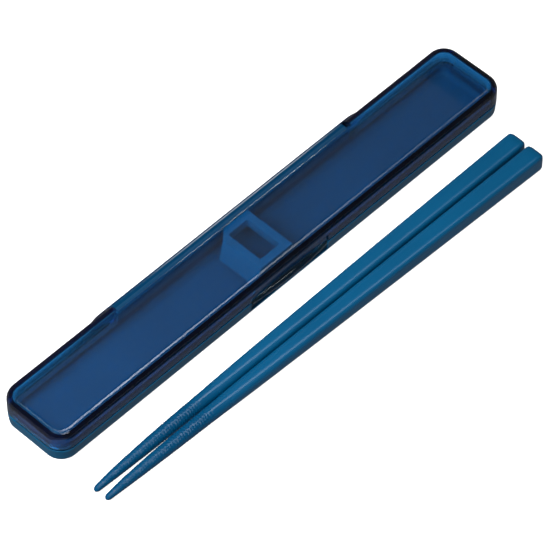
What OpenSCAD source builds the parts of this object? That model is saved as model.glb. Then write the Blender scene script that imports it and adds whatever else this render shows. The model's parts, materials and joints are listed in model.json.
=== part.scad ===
// Portable chopstick case: an opaque blue tray, a see-through tinted lid on a long barrel hinge,
// a soft hold-down insert under the lid, and the pair of chopsticks that the case carries.
// X runs along the case, the latch is on the -Y side, the hinge on the +Y side, and the tray
// stands on z = 0 with the origin in the middle of its underside.

/* [Case] */
// Length of the closed case
case_l = 192.2; // [184:0.2:230]
// Width of the closed case, without hinge and latch lip
case_w = 26.2; // [25:0.2:32]
// Height of the closed case
case_h = 12.4; // [12:0.1:15]
// Radius of the four corners, seen from above
corner_r = 6; // [5.2:0.1:8]
// Height of the parting line between tray and lid
parting_z = 5; // [4.9:0.05:5.2]
// Open gap along the parting line
parting_gap = 0.6; // [0.3:0.05:0.7]
// Bevel of the outer edges along the parting line
parting_bevel = 0.2; // [0.1:0.05:0.3]

/* [Tray] */
// Thickness of the tray's wall at the rim
tray_wall = 3.2; // [3.1:0.05:3.6]
// Thickness of the tray's floor
floor_t = 1.4; // [1:0.1:2]
// How far the tray's wall leans in from the rim to the floor
tray_draft = 0.33; // [0.1:0.01:0.6]
// Rounding of the tray's bottom edge
bottom_r = 0.95; // [0.5:0.05:1.3]
// Rounding between the tray's floor and its walls, inside
tray_fillet = 1.8; // [1:0.1:2.4]
// Height of the locating rim above the parting line
rim_h = 1.9; // [0.8:0.1:2]
// Thickness of the locating rim
rim_t = 0.7; // [0.5:0.05:0.8]

/* [Lid] */
// Thickness of the lid's side walls
lid_wall = 2.15; // [1.8:0.05:2.2]
// Thickness of the lid's top
lid_top = 1.6; // [1.2:0.1:2]
// Rounding of the lid's shoulder
shoulder_r = 2.8; // [2:0.1:4]

/* [Hinge] */
// Length of the tray's barrel
barrel_l = 100; // [60:1:110]
// Outer radius of the barrel and of the lid's knuckles
barrel_r = 2; // [1.8:0.05:2.1]
// How far the hinge axis lies inside the back face
axis_in = 0.4; // [0.35:0.05:0.5]
// Height of the hinge axis
axis_z = 8; // [7.9:0.05:8.1]
// Length of each lid knuckle, with its faired end
knuckle_l = 9.2; // [6:0.1:12]
// Radius of the stub pin on each lid knuckle
stub_r = 0.9; // [0.7:0.05:1.1]
// Length of each stub pin
stub_l = 4; // [3:0.5:6]
// Radial clearance of a stub pin in the barrel
stub_clear = 0.05; // [0.02:0.01:0.1]

/* [Latch] */
// Width of the thumb lip on the lid
lip_w = 32.6; // [24:0.2:40]
// How far the middle of the lip stands out of the front wall
lip_out = 1.05; // [0.6:0.05:1.5]
// Lower edge of the lip
lip_low = 3.3; // [3:0.1:3.4]
// Upper edge of the lip
lip_high = 5.4; // [5.3:0.1:5.8]
// Rounding of the lip's edges
lip_edge_r = 0.95; // [0.5:0.05:0.95]
// Depth of the finger recess in the tray's front wall
recess_depth = 0.8; // [0.7:0.05:1]
// Width of the catch bead behind the lip
catch_w = 12; // [8:0.5:20]

/* [Hold-down insert] */
// Length of the insert's seat along the case
insert_l = 13.6; // [10:0.1:20]
// Width of the insert across the case
insert_w = 18.8; // [14:0.2:19]
// Middle of the insert along the case, from the middle of the lid
insert_x = -2.2; // [-10:0.1:10]
// Thickness of the insert's walls round its opening
insert_wall = 2.6; // [1.5:0.1:3.5]
// Height of the insert's body under the lid
insert_body_h = 3.4; // [2:0.1:4]
// Height of the fin tips above the table
fin_tip_z = 4; // [3:0.1:6]
// How far each fin leans outwards
fin_lean = 2.35; // [1:0.05:4]
// Thickness of each fin
fin_t = 1.15; // [0.8:0.05:1.6]

/* [Chopsticks] */
// Length of a chopstick
stick_l = 180; // [160:1:195]
// Thickness of the square holding end
stick_end_t = 7; // [5.5:0.1:8]
// Thickness of the round eating tip
stick_tip_t = 2.5; // [2:0.1:3.5]
// Squareness of the holding end, from 2 for round upwards
stick_square = 5; // [2.5:0.5:8]

/* [Hidden] */
$fn = 64;
cut = 1;
hinge_gap = 0.3;
latch_gap = 0.3;
axis_y = case_w / 2 - axis_in;
lid_z = parting_z + parting_gap / 2;
tray_z = parting_z - parting_gap / 2;
lid_under_z = case_h - lid_top;
front_y = -case_w / 2;
tray_inner_r = corner_r - tray_wall;
tray_inner_y = case_w / 2 - tray_wall;
rim_back_y = 6;
hinge_wall_r = 1.4;
notch_y = tray_inner_y - hinge_gap;
notch_edge_r = 0.5;
recess_l = lip_w + 2 * latch_gap;
recess_corner_r = 2.6;
recess_low_z = 1;
recess_high_z = case_h - shoulder_r - 0.2;
lid_recess_depth = 0.5;
lip_skirt_y = front_y + recess_depth - latch_gap;
lip_root = 3;
lip_ramp_run = 1.25;
lip_ramp_h = 1.8;
catch_r = 0.22;
knuckle_x = barrel_l / 2 + hinge_gap;
knuckle_nose_r = 0.6;
insert_key = 3;
insert_inner_r = 0.8;
stick_sides = 24;
stick_stations = 26;
stick_bulge = 0.69;
stick_round_l = 1.2;
// Each chopstick's tip and holding end on the table, as [x, y]
stick_back_line = [[-95, -25.6], [84.9, -28]];
stick_front_line = [[-95.2, -31.2], [84.9, -35.8]];
tray_blue = [0.09, 0.33, 0.52];
lid_tint = [0.1, 0.24, 0.4, 0.55];
insert_blue = [0.2, 0.5, 0.75];
stick_blue = [0.05, 0.38, 0.62];

// A rounded rectangle with a moulded edge: the half profile, whose x is counted outwards from the
// corner's centre, is swept along the sides and turned at the corners, round a core from z0 to z1
module moulded_block(l, w, r, z0, z1) {
  dx = l / 2 - r;
  dy = w / 2 - r;
  translate([-dx, -dy, z0]) cube([2 * dx, 2 * dy, z1 - z0]);
  for (mx = [0, 1]) mirror([mx, 0, 0]) {
    translate([dx, dy, 0]) rotate([90, 0, 0]) linear_extrude(2 * dy) children();
    for (my = [0, 1]) mirror([0, my, 0]) translate([dx, dy, 0]) rotate_extrude(angle = 90) children();
  }
  for (my = [0, 1]) mirror([0, my, 0])
    translate([-dx, dy, 0]) rotate([90, 0, 90]) linear_extrude(2 * dx) children();
}

// A rounded rectangle with straight sides, from z0 to z1
module plan_block(l, w, r, z0, z1) {
  translate([0, 0, z0]) linear_extrude(z1 - z0) {
    square([l - 2 * r, w], center = true);
    square([l, w - 2 * r], center = true);
    for (sx = [-1, 1], sy = [-1, 1]) translate([sx * (l / 2 - r), sy * (w / 2 - r)]) circle(r);
  }
}

// A quarter disc in the quadrant that sx and sy point to
module quarter(r, sx, sy) {
  intersection() {
    circle(r);
    translate([sx < 0 ? -r : 0, sy < 0 ? -r : 0]) square(r);
  }
}

// Half profile of a wall with a round upper edge and a bevelled lower one
module shoulder_profile(r, z0, z1, edge_r, bevel) {
  top_z = z1 - edge_r;
  core_r = r - edge_r;
  polygon([[0, z0], [r - bevel, z0], [r, z0 + bevel], [r, top_z], [core_r, top_z], [core_r, z1], [0, z1]]);
  translate([core_r, top_z]) quarter(edge_r, 1, 1);
}

// Half profile of a leaning wall with a round lower edge and a bevelled upper one
module foot_profile(r, z1, draft, edge_r, bevel) {
  lean = atan(draft / z1);
  c = r - draft - edge_r * (1 - sin(lean)) / cos(lean);
  foot = [c + edge_r * cos(lean), edge_r * (1 - sin(lean))];
  polygon([[0, 0], [c, 0], foot, [r - draft * bevel / z1, z1 - bevel], [r - bevel, z1], [0, z1]]);
  translate([c, edge_r]) circle(edge_r);
}

// Half profile of a hollow with a round floor edge
module hollow_profile(r, z0, z1, edge_r) {
  polygon([[0, z0], [r - edge_r, z0], [r - edge_r, z0 + edge_r], [r, z0 + edge_r], [r, z1], [0, z1]]);
  translate([r - edge_r, z0 + edge_r]) quarter(edge_r, 1, -1);
}

// A round bar along X on the hinge axis
module hinge_bar(r, x0, x1) {
  translate([x0, axis_y, axis_z]) rotate([0, 90, 0]) cylinder(h = x1 - x0, r = r);
}

// Outline of the finger recess on the front wall, in x and z
module recess_outline() {
  half = recess_l / 2;
  r = recess_corner_r;
  translate([-half, recess_low_z]) square([recess_l, recess_high_z - recess_low_z - r]);
  translate([r - half, recess_high_z - 2 * r]) square([recess_l - 2 * r, 2 * r]);
  for (s = [-1, 1]) translate([s * (half - r), recess_high_z - r]) circle(r);
}

// Cuts the finger recess to a depth behind the front wall
module recess(depth) {
  translate([0, front_y + depth, 0]) rotate([90, 0, 0]) linear_extrude(depth + cut) recess_outline();
}

// Cross-section of the raised back wall and the fairing that carry the barrel, in y and z
module hinge_wall() {
  touch = -35;
  ty = axis_y + barrel_r * cos(touch);
  tz = axis_z + barrel_r * sin(touch);
  foot_y = case_w / 2 - tray_wall / 2;
  drop = (ty - foot_y) / tan(-touch);
  top_z = axis_z + barrel_r;
  e = hinge_wall_r;
  polygon([[axis_y, axis_z], [ty, tz], [foot_y, max(tz - drop, bottom_r)], [foot_y, tray_z]]);
  translate([tray_inner_y, tray_z - rim_t]) square([axis_y - tray_inner_y, top_z - e - tray_z + rim_t]);
  translate([tray_inner_y + e, top_z - e]) square([axis_y - tray_inner_y - e, e]);
  translate([tray_inner_y + e, top_z - e]) quarter(e, -1, 1);
}

module tray_shell() {
  difference() {
    moulded_block(case_l, case_w, corner_r, 0, tray_z)
      foot_profile(corner_r, tray_z, tray_draft, bottom_r, parting_bevel);
    moulded_block(case_l - 2 * tray_wall, case_w - 2 * tray_wall, tray_inner_r, floor_t, case_h)
      hollow_profile(tray_inner_r, floor_t, case_h, tray_fillet);
  }
}

module locating_rim() {
  rim_out = tray_wall - rim_t;
  rim_foot_z = tray_z - rim_t;
  difference() {
    plan_block(case_l - 2 * rim_out, case_w - 2 * rim_out, corner_r - rim_out, rim_foot_z, tray_z + rim_h);
    plan_block(case_l - 2 * tray_wall, case_w - 2 * tray_wall, tray_inner_r, floor_t, case_h);
    translate([-case_l, rim_back_y, tray_z]) cube([2 * case_l, case_w, case_h]);
  }
}

module tray() {
  color(tray_blue) difference() {
    union() {
      tray_shell();
      locating_rim();
      hinge_bar(barrel_r, -barrel_l / 2, barrel_l / 2);
      translate([-barrel_l / 2, 0, 0]) rotate([90, 0, 90]) linear_extrude(barrel_l) hinge_wall();
    }
    recess_with_catch();
    for (m = [0, 1]) mirror([m, 0, 0])
      hinge_bar(stub_r + stub_clear, barrel_l / 2 - stub_l - hinge_gap, barrel_l / 2 + cut);
  }
}

// The tray's finger recess, less the catch bead that stays standing in it
module recess_with_catch() {
  catch_z = (lip_low + tray_z) / 2;
  difference() {
    recess(recess_depth);
    translate([-catch_w / 2, front_y + recess_depth, catch_z])
      rotate([0, 90, 0]) cylinder(h = catch_w, r = catch_r);
  }
}

module lid_shell() {
  inner_r = corner_r - lid_wall;
  difference() {
    moulded_block(case_l, case_w, corner_r, lid_z, case_h)
      shoulder_profile(corner_r, lid_z, case_h, shoulder_r, parting_bevel);
    moulded_block(case_l - 2 * lid_wall, case_w - 2 * lid_wall, inner_r, 0, lid_under_z)
      shoulder_profile(inner_r, 0, lid_under_z, shoulder_r - lid_wall, 0);
    recess(lid_recess_depth);
    hinge_notch();
  }
}

// Cut-out in the lid's back edge for the tray's hinge wall, with a rounded upper edge
module hinge_notch() {
  e = notch_edge_r;
  translate([-knuckle_x, 0, 0]) rotate([90, 0, 90]) linear_extrude(2 * knuckle_x) {
    translate([notch_y, 0]) square([case_w, case_h - e]);
    translate([notch_y - e, case_h - e]) difference() {
      square([case_w, 2 * e]);
      circle(e);
    }
  }
}

// One knuckle at the +X end of the barrel, with its stub pin and its faired end
module knuckle() {
  straight = knuckle_l / 3;
  taper = knuckle_l - straight;
  fall = barrel_r - knuckle_nose_r;
  arc_r = (taper * taper + fall * fall) / (2 * fall);
  hinge_bar(barrel_r, knuckle_x, knuckle_x + straight);
  hinge_bar(stub_r, knuckle_x - stub_l, knuckle_x + straight);
  translate([knuckle_x + straight, axis_y, axis_z]) rotate([0, 90, 0]) rotate_extrude() intersection() {
    translate([0, -straight / 2]) square([barrel_r, taper + straight / 2]);
    translate([barrel_r - arc_r, 0]) circle(arc_r, $fn = 256);
  }
}

// The crescent lip under the thumb: a round bead below a ramp that runs up into the lid's wall,
// swept along the lip's front arc
module thumb_lip() {
  half = lip_w / 2;
  arc_r = (half * half + lip_out * lip_out) / (2 * lip_out);
  sweep = 2 * asin(half / arc_r);
  e = lip_edge_r;
  intersection() {
    translate([0, front_y - lip_out + arc_r, 0]) rotate([0, 0, 270 - sweep / 2])
      rotate_extrude(angle = sweep, $fn = 256) {
        translate([arc_r - lip_root, lip_low]) square([lip_root - e, lip_high - lip_low]);
        translate([arc_r - lip_root, lip_low + e]) square([lip_root, lip_high - lip_low - 2 * e]);
        for (z = [lip_low + e, lip_high - e]) translate([arc_r - e, z]) circle(e);
        translate([arc_r - e, lip_high])
          polygon([[0, 0], [-lip_ramp_run, lip_ramp_h], [e - lip_root, lip_ramp_h], [e - lip_root, 0]]);
      }
    union() {
      translate([-half, front_y - lip_root, 0]) cube([lip_w, lip_root + lip_skirt_y - front_y, case_h]);
      translate([-half, front_y - lip_root, lid_z]) cube([lip_w, lip_root + lid_wall, case_h]);
    }
  }
}

module lid() {
  color(lid_tint) {
    lid_shell();
    for (m = [0, 1]) mirror([m, 0, 0]) knuckle();
    thumb_lip();
  }
}

// Cross-section of the insert, in x and z: a body under the lid and two fins that lean outwards
module insert_section() {
  half = insert_l / 2;
  drop = lid_under_z - fin_tip_z;
  lean = fin_lean / drop;
  body_x = half + lean * insert_body_h - fin_t;
  tip_x = half + fin_lean;
  body_z = lid_under_z - insert_body_h;
  right = [[half, lid_under_z], [tip_x, fin_tip_z], [tip_x - fin_t, fin_tip_z], [body_x, body_z]];
  left = [for (i = [3:-1:0]) [-right[i][0], right[i][1]]];
  polygon(concat(right, left));
}

module hold_down_insert() {
  half_l = insert_l / 2;
  half_w = insert_w / 2;
  color(insert_blue) translate([insert_x, 0, 0]) difference() {
    translate([0, half_w, 0]) rotate([90, 0, 0]) linear_extrude(insert_w) insert_section();
    plan_block(insert_l - 2 * insert_wall, insert_w - 2 * insert_wall, insert_inner_r, 0, case_h);
    linear_extrude(case_h) polygon([
      [-half_l - fin_lean - cut, half_w - insert_key - 1],
      [-half_l, half_w - insert_key],
      [-half_l + 1.5 * insert_key, half_w + cut],
      [-half_l - fin_lean - cut, half_w + cut]
    ]);
  }
}

// Half thickness of a chopstick at t, from 0 at the tip to 1 at the holding end
function stick_half(t) = (stick_tip_t + (stick_end_t - stick_tip_t) * pow(t, stick_bulge)) / 2;

// Squareness of the section at t: round to a third of the length, then more and more square
function stick_power(t) = 2 + (stick_square - 2) * pow(max(0, (t - 0.3) / 0.7), 0.8);

// One point of the section, at angle a, on a rounded square of half thickness h
function stick_point(x, h, n, shrink, a) =
  let (d = h * shrink / pow(pow(abs(cos(a)), n) + pow(abs(sin(a)), n), 1 / n))
  [x, d * cos(a), h + d * sin(a)];

// Stations along the stick as [place, shrink], with a round nose at each end
stick_nose = [[0, 0.45], [0.15, 0.75], [0.5, 0.94], [1, 1]];
stick_places = concat(
  [for (p = stick_nose) [p[0] * stick_round_l / stick_l, p[1]]],
  [for (i = [1:stick_stations - 1]) [i / stick_stations, 1]],
  [for (i = [3:-1:0]) [1 - stick_nose[i][0] * stick_round_l / stick_l, stick_nose[i][1]]]
);

// A chopstick from the origin along X, lying on z = 0
module stick() {
  n = len(stick_places);
  k = stick_sides;
  points = [for (s = stick_places, j = [0:k - 1])
    stick_point(s[0] * stick_l, stick_half(s[0]), stick_power(s[0]), s[1], 360 * j / k)];
  tip_cap = [for (j = [0:k - 1]) j];
  end_cap = [for (j = [k - 1:-1:0]) (n - 1) * k + j];
  sides = [for (i = [0:n - 2], j = [0:k - 1]) let (a = i * k + j, b = i * k + (j + 1) % k)
    each [[a, a + k, b], [b, a + k, b + k]]];
  polyhedron(points, concat([tip_cap], sides, [end_cap]));
}

// Lays a chopstick along a line on the table
module laid_stick(line) {
  d = line[1] - line[0];
  translate([line[0][0], line[0][1], 0]) rotate([0, 0, atan2(d[1], d[0])]) stick();
}

module chopstick_back() {
  color(stick_blue) laid_stick(stick_back_line);
}

module chopstick_front() {
  color(stick_blue) laid_stick(stick_front_line);
}

tray();
lid();
hold_down_insert();
chopstick_back();
chopstick_front();
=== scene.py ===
# %% [markdown]
# A slim chopstick case stands on a pale table with its pair of chopsticks beside it. The solids
# give the sizes and the places, so this lesson dresses them and models what a solid can't show.
# We clear Blender's start-up scene first and load the solids as a fixed frame.

# %% Load the frame
import json
import math

import bmesh
import bpy
from mathutils import Matrix, Vector

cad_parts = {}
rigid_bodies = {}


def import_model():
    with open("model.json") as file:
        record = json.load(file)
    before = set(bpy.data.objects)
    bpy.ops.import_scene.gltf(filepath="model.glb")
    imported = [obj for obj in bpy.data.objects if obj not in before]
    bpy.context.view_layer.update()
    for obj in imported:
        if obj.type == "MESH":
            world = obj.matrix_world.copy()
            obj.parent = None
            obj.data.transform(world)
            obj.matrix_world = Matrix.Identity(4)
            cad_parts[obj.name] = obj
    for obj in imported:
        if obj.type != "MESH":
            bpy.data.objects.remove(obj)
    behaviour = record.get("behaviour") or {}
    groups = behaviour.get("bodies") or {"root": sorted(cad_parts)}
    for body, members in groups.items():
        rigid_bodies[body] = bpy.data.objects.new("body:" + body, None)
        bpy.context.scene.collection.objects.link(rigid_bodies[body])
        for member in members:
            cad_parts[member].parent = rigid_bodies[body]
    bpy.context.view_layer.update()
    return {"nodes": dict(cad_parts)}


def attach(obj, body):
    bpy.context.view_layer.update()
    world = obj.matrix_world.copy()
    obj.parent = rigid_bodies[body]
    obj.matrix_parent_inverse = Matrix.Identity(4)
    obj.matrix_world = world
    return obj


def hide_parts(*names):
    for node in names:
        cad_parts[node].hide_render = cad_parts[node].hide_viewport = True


for leftover in list(bpy.data.objects):
    bpy.data.objects.remove(leftover)
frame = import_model()
MM = 0.001

# %% [markdown]
# The photograph was taken with a long lens from the front left, about fifty degrees up. A camera
# is three directions and a distance: we build them from the azimuth, elevation and roll that fit
# the outline of the case, and turn the focal length from pixels into Blender's sensor millimetres.

# %% Camera
PICTURE_PX = 550
FOCAL_PX = 4155.1
SENSOR_MM = 36.0
AZIMUTH = math.radians(-46.0769)
ELEVATION = math.radians(51.5706)
ROLL = math.radians(0.1289)
DISTANCE_MM = 1258.53
AIM_RIGHT_MM = 4.817
AIM_UP_MM = -4.963
CLIP_START = 0.05


def make_camera():
    """A camera whose picture has the photograph's perspective."""
    flat = math.cos(ELEVATION)
    back = Vector((math.sin(AZIMUTH) * flat, -math.cos(AZIMUTH) * flat, math.sin(ELEVATION)))
    right = Vector((math.cos(AZIMUTH), math.sin(AZIMUTH), 0.0))
    up = back.cross(right)
    rolled_right = math.cos(ROLL) * right + math.sin(ROLL) * up
    rolled_up = math.cos(ROLL) * up - math.sin(ROLL) * right
    place = (AIM_RIGHT_MM * rolled_right + AIM_UP_MM * rolled_up + DISTANCE_MM * back) * MM
    turn = Matrix((rolled_right, rolled_up, back)).transposed()
    data = bpy.data.cameras.new("camera")
    data.sensor_width = SENSOR_MM
    data.lens = FOCAL_PX / PICTURE_PX * SENSOR_MM
    data.clip_start = CLIP_START
    camera = bpy.data.objects.new("camera", data)
    camera.matrix_world = Matrix.Translation(place) @ turn.to_4x4()
    bpy.context.scene.collection.objects.link(camera)
    bpy.context.scene.camera = camera
    return camera


camera = make_camera()
print("lens in mm:", round(camera.data.lens, 1))

# %% [markdown]
# A product picture on white needs a table that burns out to white while the dark plastic stays
# dark. So the sky is dim, and the table glows a little by itself and is there for the camera only:
# the plastic neither mirrors it nor takes light from it. It isn't part of the object.

# %% Floor and sky
FLOOR_HALF = 3.0
FLOOR_GLOW = 0.55
FLOOR_ROUGH = 0.6
FLOOR_SPECULAR = 0.2
FLOOR_TONES = (0.93, 0.95)
CLOUD_SCALE = 2.0
CLOUD_DETAIL = 2.0
SKY_GLOW = 0.09
WHITE = (1, 1, 1, 1)
BLACK = (0, 0, 0, 1)


def node_material(name):
    """A new material with nodes, and its Principled shader."""
    material = bpy.data.materials.new(name)
    material.use_nodes = True
    return material, material.node_tree.nodes["Principled BSDF"]


def set_sockets(node, **sockets):
    """Sets a node's sockets by name, with underscores for spaces."""
    for name, value in sockets.items():
        node.inputs[name.replace("_", " ")].default_value = value


def add_node(material, kind, **sockets):
    """One node in a material's tree, with its sockets set by name."""
    node = material.node_tree.nodes.new(kind)
    set_sockets(node, **sockets)
    return node


def link(material, source, target):
    """Joins two sockets of a material's tree."""
    material.node_tree.links.new(source, target)


def noise(material, scale, detail):
    """A cloudy value between 0 and 1 in object space."""
    place = add_node(material, "ShaderNodeTexCoord")
    cloud = add_node(material, "ShaderNodeTexNoise", Scale=scale, Detail=detail)
    link(material, place.outputs["Object"], cloud.inputs["Vector"])
    return cloud.outputs["Fac"]


def add_object(name, mesh):
    """Puts a mesh into the scene as an object."""
    made = bpy.data.objects.new(name, mesh)
    bpy.context.scene.collection.objects.link(made)
    return made


def add_sheet(name, corners):
    """One flat face in the scene."""
    mesh = bpy.data.meshes.new(name)
    mesh.from_pydata(corners, [], [tuple(range(len(corners)))])
    return add_object(name, mesh)


def rectangle(x0, y0, x1, y1, z):
    """The corners of a level rectangle."""
    return [(x0, y0, z), (x1, y0, z), (x1, y1, z), (x0, y1, z)]


def make_floor():
    """A wide pale plate under the object, with a faint cloudy tone."""
    corners = rectangle(-FLOOR_HALF, -FLOOR_HALF, FLOOR_HALF, FLOOR_HALF, 0)
    floor = add_sheet("floor", corners)
    material, shader = node_material("pale_floor")
    set_sockets(shader, Roughness=FLOOR_ROUGH, Specular_IOR_Level=FLOOR_SPECULAR)
    set_sockets(shader, Emission_Color=WHITE, Emission_Strength=FLOOR_GLOW)
    tone = add_node(material, "ShaderNodeValToRGB")
    for element, level in zip(tone.color_ramp.elements, FLOOR_TONES):
        element.color = (level, level, level, 1)
    link(material, noise(material, CLOUD_SCALE, CLOUD_DETAIL), tone.inputs["Fac"])
    link(material, tone.outputs["Color"], shader.inputs["Base Color"])
    floor.data.materials.append(material)
    floor.visible_diffuse = floor.visible_glossy = floor.visible_transmission = False
    return floor


def make_sky():
    """A dim even sky."""
    world = bpy.data.worlds.new("studio_sky")
    world.use_nodes = True
    set_sockets(world.node_tree.nodes["Background"], Color=WHITE, Strength=SKY_GLOW)
    bpy.context.scene.world = world


floor = make_floor()
make_sky()
print("floor in m:", [round(side, 1) for side in floor.dimensions])

# %% [markdown]
# Shiny and clear plastic shows what stands round it, so cards shape its looks, as a photographer's
# cards do. Each one is seen by one kind of ray only, and its glow is graded along X. Two lie on the
# table and show through the clear lid: a white one behind the case, dimmer behind the hinge, and a
# black one in front. One throws light up from the table. The others are only mirrored: the table
# itself, a grey sheen on the lid's top, and the lines of light on the lid's shoulder and on the
# hinge. The hinge's card is linked to the case, so that the sticks don't mirror it. Like the table,
# the cards aren't part of the object.

# %% Cards
SHOWN_Z = 0.0002
BACK_CARD = (
    (-0.3, 0.017), (0.096, 0.017), (0.1, 0.013), (0.1, -0.1),
    (0.3, -0.1), (0.3, 0.3), (-0.3, 0.3),
)
BACK_GLOW = 1.4
BACK_FADE = ((-0.3, 1.0), (-0.068, 1.0), (-0.054, 0.45), (0.05, 0.45), (0.065, 1.0), (0.3, 1.0))
# Painted shade: the black front card stands for the shaded table seen through the latch lip.
FRONT_CARD = (-0.14, -0.07, 0.14, -0.01)
FRONT_GLOW = 0.0
FRONT_FADE = ((-0.14, 0.0), (0.14, 0.0))
TABLE_CARD = (-0.6, -0.6, 0.6, 0.6)
GROUND_Z = -0.001
GROUND_GLOW = 0.33
GROUND_FADE = ((-0.6, 1.0), (-0.1, 1.0), (-0.098, 0.52), (0.6, 0.52))
BOUNCE_Z = 0.0003
BOUNCE_GLOW = 0.5
BOUNCE_FADE = ((-0.6, 0.0), (-0.1, 0.0), (-0.09, 1.0), (0.6, 1.0))
SHEEN_CARD = (-0.06, 0.043, 0.145, 0.0635)
SHEEN_Z = 0.11
SHEEN_GLOW = 0.35
SHEEN_FADE = ((-0.06, 1.0), (0.145, 0.7))
TOP_CARD = (
    (0.6, -0.165), (0.6, 0.11), (-0.1, 0.11),
    (-0.1, 0.5), (-0.22, 0.5), (-0.22, -0.165),
)
TOP_Z = 0.8
TOP_GLOW = 10.0
TOP_FADE = (
    (-0.22, 0.2), (-0.1, 0.25), (0.0, 0.4), (0.245, 0.7), (0.29, 0.8), (0.302, 0.68), (0.33, 0.58),
    (0.358, 0.48), (0.388, 0.38), (0.418, 0.32), (0.448, 0.22), (0.51, 0.15), (0.6, 0.1),
)
HINGE_CARD = ((0.385, 0.3), (0.507, 0.3), (0.605, 0.727), (0.483, 0.727))
HINGE_Y = 0.83
HINGE_GLOW = 9.0
HINGE_FADE = ((0.385, 1.0), (0.605, 1.0))


def make_card(name, rays, corners, peak, stops, lit=None):
    """A glowing card for one kind of ray, graded along X; it may light one collection only."""
    low, high = stops[0][0], stops[-1][0]
    card = add_sheet(name, corners)
    material, shader = node_material(name)
    place = add_node(material, "ShaderNodeTexCoord")
    part = add_node(material, "ShaderNodeSeparateXYZ")
    along = add_node(material, "ShaderNodeMapRange", From_Min=low, From_Max=high)
    fade = add_node(material, "ShaderNodeValToRGB")
    glow = add_node(material, "ShaderNodeMapRange", To_Max=peak)
    elements = fade.color_ramp.elements
    for x, _ in stops[1:-1]:
        elements.new((x - low) / (high - low))
    for element, (_, level) in zip(elements, stops):
        element.color = (level, level, level, 1)
    link(material, place.outputs["Object"], part.inputs["Vector"])
    link(material, part.outputs["X"], along.inputs["Value"])
    link(material, along.outputs["Result"], fade.inputs["Fac"])
    link(material, fade.outputs["Color"], glow.inputs["Value"])
    link(material, glow.outputs["Result"], shader.inputs["Emission Strength"])
    set_sockets(shader, Emission_Color=WHITE, Base_Color=BLACK)
    card.data.materials.append(material)
    card.visible_camera = card.visible_shadow = False
    card.visible_diffuse = rays == "diffuse"
    card.visible_glossy = rays == "glossy"
    card.visible_transmission = rays == "transmission"
    card.light_linking.receiver_collection = lit
    return card


case_light = bpy.data.collections.new("case_light")
for node in ("tray", "lid"):
    case_light.objects.link(frame["nodes"][node])
back_corners = [(x, y, SHOWN_Z) for x, y in BACK_CARD]
front_corners = rectangle(*FRONT_CARD, SHOWN_Z)
ground_corners = rectangle(*TABLE_CARD, GROUND_Z)
bounce_corners = rectangle(*TABLE_CARD, BOUNCE_Z)
sheen_corners = rectangle(*SHEEN_CARD, SHEEN_Z)
top_corners = [(x, y, TOP_Z) for x, y in TOP_CARD]
hinge_corners = [(x, HINGE_Y, z) for x, z in HINGE_CARD]
cards = [
    make_card("back_card", "transmission", back_corners, BACK_GLOW, BACK_FADE),
    make_card("front_card", "transmission", front_corners, FRONT_GLOW, FRONT_FADE),
    make_card("ground_card", "glossy", ground_corners, GROUND_GLOW, GROUND_FADE),
    make_card("bounce_card", "diffuse", bounce_corners, BOUNCE_GLOW, BOUNCE_FADE),
    make_card("sheen_card", "glossy", sheen_corners, SHEEN_GLOW, SHEEN_FADE),
    make_card("top_card", "glossy", top_corners, TOP_GLOW, TOP_FADE),
    make_card("hinge_card", "glossy", hinge_corners, HINGE_GLOW, HINGE_FADE, case_light),
]
print("cards:", [card.name for card in cards])

# %% [markdown]
# Two soft boxes light the object, one from the left and one from the front, and a weaker one stands
# behind. A soft box is an area lamp, and the larger it is, the softer are its shadows. The left one
# and the rear one aren't mirrored, because they would show as pale spots on the polished lid. The
# plain view transform keeps the white of the table white.

# %% Lamps
# Each lamp has its place, its two sides, its power in watts, and whether the plastic mirrors it.
LAMPS = {
    "key_box": ((-0.34, 0.0, 0.38), (0.35, 0.35), 4.2, False),
    "fill_box": ((-0.2, -0.7, 0.9), (0.7, 0.5), 3.0, True),
    "rear_box": ((0.3, 0.8, 0.45), (0.5, 0.5), 2.0, False),
}


def make_lamp(name, place, sides, power, mirrored):
    """A soft box: a rectangular area lamp that faces the middle of the case."""
    data = bpy.data.lights.new(name, "AREA")
    data.shape = "RECTANGLE"
    data.size, data.size_y = sides
    data.energy = power
    lamp = bpy.data.objects.new(name, data)
    back = Vector(place).normalized()
    side = (Vector((1, 0, 0)) - back * back.x).normalized()
    turn = Matrix((side, back.cross(side), back)).transposed()
    lamp.matrix_world = Matrix.Translation(place) @ turn.to_4x4()
    lamp.visible_glossy = mirrored
    bpy.context.scene.collection.objects.link(lamp)
    return lamp


lamps = [make_lamp(name, *values) for name, values in LAMPS.items()]
bpy.context.scene.view_settings.view_transform = "Standard"
print("lamps:", [lamp.name for lamp in lamps])

# %% [markdown]
# The tray is injection-moulded plastic in a solid blue. Moulded plastic is never quite even: the
# colour drifts a little over a few centimetres and the gloss breaks up in a very fine grain, so one
# noise bends the colour and a finer one bends the roughness and the surface.

# %% Tray plastic
DRIFT_DETAIL = 3.0
DRIFT_ENDS = (0.3, 0.7)
GRAIN_DETAIL = 4.0
TRAY_FINISH = {
    "drift": 40.0,
    "colours": ((0.0, 0.058, 0.13), (0.0, 0.068, 0.15)),
    "specular": 0.3,
    "grain": 900.0,
    "rough": (0.28, 0.36),
    "relief": (0.00002, 0.3),
}


def cloudy(material, scale, colours):
    """A colour that drifts between two colours in object space."""
    ramp = add_node(material, "ShaderNodeValToRGB")
    for element, position, colour in zip(ramp.color_ramp.elements, DRIFT_ENDS, colours):
        element.position = position
        element.color = (*colour, 1)
    link(material, noise(material, scale, DRIFT_DETAIL), ramp.inputs["Fac"])
    return ramp.outputs["Color"]


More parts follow.
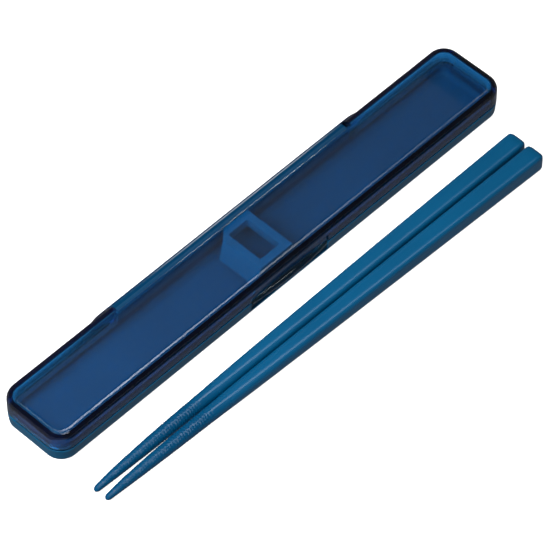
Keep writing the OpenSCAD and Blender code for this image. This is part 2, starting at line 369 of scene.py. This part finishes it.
def uneven_gloss(material, shader, scale, rough):
    """Roughness that wanders between two values over a fine grain; gives back the grain."""
    grain = noise(material, scale, GRAIN_DETAIL)
    span = add_node(material, "ShaderNodeMapRange", To_Min=rough[0], To_Max=rough[1])
    link(material, grain, span.inputs["Value"])
    link(material, span.outputs["Result"], shader.inputs["Roughness"])
    return grain


def fine_bump(material, shader, height, distance, strength):
    """A shallow relief from a height between 0 and 1."""
    bump = add_node(material, "ShaderNodeBump", Strength=strength, Distance=distance)
    link(material, height, bump.inputs["Height"])
    link(material, bump.outputs["Normal"], shader.inputs["Normal"])


def moulded(name, drift, colours, specular, grain, rough, relief):
    """An opaque moulded plastic with an uneven colour, gloss and surface, and its shader."""
    material, shader = node_material(name)
    link(material, cloudy(material, drift, colours), shader.inputs["Base Color"])
    set_sockets(shader, Specular_IOR_Level=specular)
    height = uneven_gloss(material, shader, grain, rough)
    fine_bump(material, shader, height, *relief)
    return material, shader


def dress(node, material):
    """Gives a solid its finish."""
    slots = frame["nodes"][node].data.materials
    slots.clear()
    slots.append(material)


tray_material, tray_shader = moulded("tray_plastic", **TRAY_FINISH)
dress("tray", tray_material)
print("tray finish:", len(tray_material.node_tree.nodes), "nodes")

# %% [markdown]
# Parts of the tray look different from the rest. The lid casts no shadow, so shade is painted into
# the tray's colour: in the joint under the lid's edge, in the finger recess, on the ledge and wall
# inside the lid, and on the top of the hinge barrel, which is also polished. The edge of the wall
# in front of the barrel is dull. We could paint this on an unwrapped mesh, but arithmetic on the
# place of each point is simpler and needs no picture: a band between two values of one coordinate,
# or the rounded outline of the case set in by some millimetres.

# %% Tray zones
CASE_L = 192.2
CASE_W = 26.2
CORNER_R = 6.0
JOINT_INSET = 0.6
LEDGE_INSET = 3.2
RIM_END = 6.0
# Each zone has its low end, its high end and the width of its soft edge, in millimetres.
JOINT_Z = (4.69, 5.2, 0.02)
LEDGE_Z = (1.6, 5.3, 0.3)
BARREL_X = (-50.0, 50.0, 0.1)
BARREL_Y = (10.5, 16.0, 0.1)
RECESS_X = (-16.7, 16.7, 0.1)
RECESS_Y = (-12.6, -12.2, 0.1)
RECESS_Z = (0.95, 5.2, 0.1)
WALL_EDGE_Y = (10.0, 11.8, 0.2)
# Painted shade for the ledge and wall inside the lid's wall.
LEDGE_SHADE_BLUE = (0.0, 0.035, 0.08)
# Painted shade: a darker blue for the top of the hinge barrel.
BARREL_SHADE_BLUE = (0.0, 0.032, 0.085)
# Painted shade for the joint under the lid's edge, where the lid casts no shadow.
JOINT_SHADE_BLUE = (0.0, 0.006, 0.018)
# Painted shade for the finger recess under the latch lip.
RECESS_SHADE_BLUE = (0.0, 0.014, 0.035)
BARREL_ROUGH = 0.1
WALL_EDGE_ROUGH = 0.65


def where(material):
    """Sockets with the place on the object: X, Y and Z in metres."""
    place = add_node(material, "ShaderNodeTexCoord")
    part = add_node(material, "ShaderNodeSeparateXYZ")
    link(material, place.outputs["Object"], part.inputs["Vector"])
    return part.outputs


def calc(material, operation, one, two=0.0):
    """One step of arithmetic on sockets or plain numbers."""
    node = add_node(material, "ShaderNodeMath")
    node.operation = operation
    for slot, value in zip(node.inputs, (one, two)):
        if isinstance(value, float):
            slot.default_value = value
        else:
            link(material, value, slot)
    return node.outputs[0]


def overlap(material, *factors):
    """One where every factor is one."""
    shared = factors[0]
    for factor in factors[1:]:
        shared = calc(material, "MULTIPLY", shared, factor)
    return shared


def band(material, value, low, high, soft):
    """One where a coordinate lies between two ends, zero beyond a soft edge, in millimetres."""
    ends = []
    for edge, outside in ((low, low - soft), (high, high + soft)):
        end = add_node(material, "ShaderNodeMapRange", From_Min=outside * MM, From_Max=edge * MM)
        link(material, value, end.inputs["Value"])
        ends.append(end.outputs["Result"])
    return overlap(material, *ends)


def inside_plan(material, inset):
    """One inside the case's rounded outline, set in by some millimetres, seen from above."""
    x, y, _ = where(material)
    reach = []
    for value, corner in ((x, CASE_L / 2 - CORNER_R), (y, CASE_W / 2 - CORNER_R)):
        over = calc(material, "SUBTRACT", calc(material, "ABSOLUTE", value), corner * MM)
        reach.append(calc(material, "POWER", calc(material, "MAXIMUM", over), 2.0))
    limit = ((CORNER_R - inset) * MM) ** 2
    return calc(material, "LESS_THAN", calc(material, "ADD", *reach), limit)


def change_where(material, shader, socket, factor, value):
    """Gives a shader another colour or roughness where the factor is one."""
    mix = add_node(material, "ShaderNodeMix")
    if socket == "Base Color":
        mix.data_type = "RGBA"
        value = (*value, 1)
    mix.inputs["B"].default_value = value
    link(material, factor, mix.inputs["Factor"])
    link(material, shader.inputs[socket].links[0].from_socket, mix.inputs["A"])
    link(material, mix.outputs["Result"], shader.inputs[socket])


def paint_tray(material, shader):
    """Paints shade on the tray's ledge, barrel top, joint and recess; polishes the barrel and dulls
    the wall edge.
    """
    x, y, z = where(material)
    front = calc(material, "LESS_THAN", y, RIM_END * MM)
    within = inside_plan(material, JOINT_INSET)
    rim = calc(material, "MAXIMUM", calc(material, "SUBTRACT", front, within))
    ring = calc(material, "SUBTRACT", within, inside_plan(material, LEDGE_INSET))
    joint = overlap(material, rim, band(material, z, *JOINT_Z))
    ledge = overlap(material, ring, band(material, z, *LEDGE_Z))
    barrel = overlap(material, band(material, x, *BARREL_X), band(material, y, *BARREL_Y))
    notch = overlap(material, band(material, x, *RECESS_X), band(material, y, *RECESS_Y))
    recess = overlap(material, notch, band(material, z, *RECESS_Z))
    wall_edge = band(material, y, *WALL_EDGE_Y)
    # Painted shade on the ledge and inner wall, which the lid's wall would shade.
    change_where(material, shader, "Base Color", ledge, LEDGE_SHADE_BLUE)
    # Painted shade: the barrel's top is drawn darker than the rest of the tray.
    change_where(material, shader, "Base Color", barrel, BARREL_SHADE_BLUE)
    # Painted shade in the joint, standing in for the lid edge's shadow.
    change_where(material, shader, "Base Color", joint, JOINT_SHADE_BLUE)
    # Painted shade in the finger recess, standing in for the lip's shadow.
    change_where(material, shader, "Base Color", recess, RECESS_SHADE_BLUE)
    change_where(material, shader, "Roughness", barrel, BARREL_ROUGH)
    change_where(material, shader, "Roughness", wall_edge, WALL_EDGE_ROUGH)


paint_tray(tray_material, tray_shader)
print("tray finish with zones:", len(tray_material.node_tree.nodes), "nodes")

# %% [markdown]
# The lid is clear plastic tinted navy. Tint belongs to the volume, not to the surface: light that
# crosses the thin top loses a little, and light that runs along a wall loses much more, which is
# what makes the edges of such a lid look almost black. So the surface is clear, and an absorbing
# volume fills the solid. The hollow side is satin, which softens what shows through. The lamps
# reach the tray straight through the lid, because it is left out of the shadow rays.

# %% Lid finish
LID_TINT = (0.07, 0.59, 0.76, 1.0)
LID_DENSITY = 1400.0
LID_IOR = 1.52
LID_GRAIN = 60.0
LID_ROUGH = (0.03, 0.06)
HOLLOW_ROUGH = 0.18
WALL_MIDDLE = 1.1
TOP_MIDDLE = 11.6


def lid_plastic():
    """Polished clear plastic with a navy volume tint, satin on its hollow side."""
    material, shader = node_material("lid_plastic")
    set_sockets(shader, Base_Color=WHITE, Transmission_Weight=1.0, IOR=LID_IOR)
    uneven_gloss(material, shader, LID_GRAIN, LID_ROUGH)
    under = calc(material, "LESS_THAN", where(material)["Z"], TOP_MIDDLE * MM)
    hollow = overlap(material, inside_plan(material, WALL_MIDDLE), under)
    change_where(material, shader, "Roughness", hollow, HOLLOW_ROUGH)
    tint = add_node(material, "ShaderNodeVolumeAbsorption", Color=LID_TINT, Density=LID_DENSITY)
    output = material.node_tree.nodes["Material Output"]
    link(material, tint.outputs["Volume"], output.inputs["Volume"])
    return material


dress("lid", lid_plastic())
frame["nodes"]["lid"].visible_shadow = False
print("lid faces:", len(frame["nodes"]["lid"].data.polygons))

# %% [markdown]
# The hold-down insert is a soft blue elastomer moulding under the middle of the lid. Its solid has
# sharp edges and a rubber moulding has none, so we take the solid's flat faces, round every edge,
# and draw the top in by a hair, so that it doesn't lie in the same plane as the lid's underside.

# %% Insert
INSERT_FINISH = {
    "drift": 120.0,
    "colours": ((0.0, 0.1, 0.2), (0.0, 0.115, 0.23)),
    "specular": 0.25,
    "grain": 1500.0,
    "rough": (0.5, 0.65),
    "relief": (0.00003, 0.4),
}
INSERT_ROUND = 0.35
INSERT_SINK = 0.12
ROUND_STEPS = 4
ROUND_PROFILE = 0.5
WELD_DISTANCE = 1e-6
FLAT_ANGLE = math.radians(1)
TOP_SLACK = 1e-5


def smooth_mesh(build, name):
    """Ends a build as a mesh with smooth faces."""
    for face in build.faces:
        face.smooth = True
    mesh = bpy.data.meshes.new(name)
    build.to_mesh(mesh)
    build.free()
    return mesh


def rounded_copy(node, name):
    """A node's flat-faced solid as a new mesh with round edges, its top drawn in."""
    build = bmesh.new()
    build.from_mesh(frame["nodes"][node].data)
    bmesh.ops.remove_doubles(build, verts=build.verts, dist=WELD_DISTANCE)
    bmesh.ops.dissolve_limit(build, angle_limit=FLAT_ANGLE, verts=build.verts, edges=build.edges)
    top = max(v.co.z for v in build.verts)
    for v in build.verts:
        if v.co.z > top - TOP_SLACK:
            v.co.z -= INSERT_SINK * MM
    bmesh.ops.bevel(
        build, geom=list(build.edges), offset=INSERT_ROUND * MM, segments=ROUND_STEPS,
        profile=ROUND_PROFILE, affect="EDGES", clamp_overlap=True,
    )
    return smooth_mesh(build, name)


insert_mesh = rounded_copy("hold_down_insert", "hold_down_pad")
insert_material, _ = moulded("insert_elastomer", **INSERT_FINISH)
insert_mesh.materials.append(insert_material)
insert = add_object("hold_down_pad", insert_mesh)
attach(insert, "lid")
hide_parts("hold_down_insert")
print("insert:", len(insert_mesh.polygons), "faces")

# %% [markdown]
# Each chopstick is a round tip that grows into a rounded square at the holding end. Its thickness
# was measured at a few places, and smooth curves join them, a little closer to the photograph than
# the solid is. A formula makes the section squarer towards the holding end. Near the tip fine rings
# are moulded in, so that noodles don't slide off: they are real geometry here, a shallow wave along
# the last four centimetres.

# %% Chopstick shape
# Where each stick's tip and holding end lie on the table, in millimetres.
STICK_LINES = {
    "chopstick_back": ((-95.5, -26.28), (87.2, -27.52)),
    "chopstick_front": ((-95.3, -30.72), (87.2, -35.05)),
}
# Places from the tip, 0, to the holding end, 1, and the thickness there in millimetres.
STICK_PROFILE = (
    (0.0, 1.9), (0.016, 2.4), (0.04, 3.03), (0.075, 3.6), (0.13, 4.25), (0.2, 4.72),
    (0.3, 5.1), (0.4, 5.38), (0.5, 5.62), (0.67, 6.04), (1.0, 6.73),
)
STICK_SIDES = 72
BODY_STEPS = 60
ROUND_POWER = 2
ROUND_UNTIL = 0.25
SQUARE_GAIN = 4.2
SQUARE_BEND = 0.8
TIP_ROUND = 1.2
END_ROUND = 2.0
END_TURNS = (6, 20, 36, 52, 70, 90)
RING_STEP = 0.15
RING_START = 2.0
RING_END = 43.0
RING_FADE_IN = 2.0
RING_FADE_OUT = 3.0
RING_PITCH = 1.0
RING_DEPTH = 0.11
WOBBLE = 1.4
WOBBLES_ROUND = 9
WOBBLES_ALONG = 1.3


def stick_half(t):
    """Half thickness of a chopstick at t, from 0 at the tip to 1 at the holding end."""
    i = max(k for k, (place, _) in enumerate(STICK_PROFILE[:-1]) if place <= t)
    points = [STICK_PROFILE[max(0, min(k, len(STICK_PROFILE) - 1))] for k in range(i - 1, i + 3)]
    (t0, d0), (t1, d1), (t2, d2), (t3, d3) = points
    u, step = (t - t1) / (t2 - t1), t2 - t1
    rise, fall = step * (d2 - d0) / (t2 - t0), step * (d3 - d1) / (t3 - t1)
    start = (1 + 2 * u) * (1 - u) ** 2 * d1 + u * (1 - u) ** 2 * rise
    return (start + u * u * (3 - 2 * u) * d2 + u * u * (u - 1) * fall) / 2


def stick_power(t):
    """Squareness of the section at t: two is a circle, and more is a rounded square."""
    square = max(0.0, (t - ROUND_UNTIL) / (1 - ROUND_UNTIL))
    return ROUND_POWER + SQUARE_GAIN * square ** SQUARE_BEND


def stick_stations(length):
    """Places along a stick with each section's share of its size: round ends, fine ring steps."""
    turns = [math.radians(a) for a in END_TURNS]
    nose = [(TIP_ROUND * (1 - math.cos(a)), math.sin(a)) for a in turns]
    heel = [(length - END_ROUND * (1 - math.cos(a)), math.sin(a)) for a in reversed(turns)]
    ring_count = int((RING_END - TIP_ROUND) / RING_STEP)
    rings = [TIP_ROUND + RING_STEP * i for i in range(1, ring_count)]
    body_length = length - END_ROUND - RING_END
    body = [RING_END + body_length * i / BODY_STEPS for i in range(BODY_STEPS)]
    return nose + [(x, 1.0) for x in rings + body] + heel


def ring_cut(x, a):
    """Depth of the wavy rings at x and angle a; they fade in and out over a few millimetres."""
    fade_in = max(0.0, (x - RING_START) / RING_FADE_IN)
    fade_out = max(0.0, (RING_END - x) / RING_FADE_OUT)
    wobble = WOBBLE * math.sin(WOBBLES_ROUND * a + WOBBLES_ALONG * x)
    wave = 2 * math.pi * x / RING_PITCH + wobble
    return RING_DEPTH * min(1.0, fade_in, fade_out) * (0.5 - 0.5 * math.cos(wave))


def stick_mesh(name, length):
    """A chopstick along X from the origin, lying on z = 0."""
    build = bmesh.new()
    loops = []
    for x, share in stick_stations(length):
        h = stick_half(x / length)
        n = stick_power(x / length)
        loop = []
        for j in range(STICK_SIDES):
            a = 2 * math.pi * j / STICK_SIDES
            c, s = math.cos(a), math.sin(a)
            d = h * share / (abs(c) ** n + abs(s) ** n) ** (1 / n) - ring_cut(x, a)
            loop.append(build.verts.new((x * MM, d * c * MM, (h + d * s) * MM)))
        loops.append(loop)
    for one, two in zip(loops, loops[1:]):
        for j in range(STICK_SIDES):
            k = (j + 1) % STICK_SIDES
            build.faces.new((one[j], two[j], two[k], one[k]))
    build.faces.new(loops[0])
    build.faces.new(list(reversed(loops[-1])))
    bmesh.ops.recalc_face_normals(build, faces=build.faces)
    return smooth_mesh(build, name)


stick_meshes = {}
for node, (tip, end) in STICK_LINES.items():
    mesh = stick_mesh(node + "_ringed", math.dist(tip, end))
    turn = math.atan2(end[1] - tip[1], end[0] - tip[0])
    place = Matrix.Translation((tip[0] * MM, tip[1] * MM, 0))
    mesh.transform(place @ Matrix.Rotation(turn, 4, "Z"))
    stick_meshes[node] = mesh
    print(mesh.name, len(mesh.polygons), "faces")

# %% [markdown]
# The chopsticks are moulded in the same way as the tray, in a slightly lighter blue. Their ringed
# tips are darker and shinier than the rest, so a band with a wide soft edge along X changes the
# colour and the roughness there.

# %% Chopstick finish
STICK_FINISH = {
    "drift": 30.0,
    "colours": ((0.0, 0.067, 0.16), (0.0, 0.08, 0.187)),
    "specular": 0.33,
    "grain": 1200.0,
    "rough": (0.27, 0.33),
    "relief": (0.00002, 0.3),
}
RINGED_X = (-100.0, -58.0, 14.0)
TIP_BLUE = (0.0, 0.05, 0.125)
RINGED_ROUGH = 0.16

stick_material, stick_shader = moulded("chopstick_plastic", **STICK_FINISH)
ringed = band(stick_material, where(stick_material)["X"], *RINGED_X)
change_where(stick_material, stick_shader, "Base Color", ringed, TIP_BLUE)
change_where(stick_material, stick_shader, "Roughness", ringed, RINGED_ROUGH)
for node, mesh in stick_meshes.items():
    mesh.materials.append(stick_material)
    stick = add_object(node + "_ringed", mesh)
    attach(stick, node)
    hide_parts(node)
    print(stick.name, "in", stick_material.name)

# %% [markdown]
# The dressed part must keep the size of the solids. This cell only brings the scene up to date.

# %% Update the scene
bpy.context.view_layer.update()
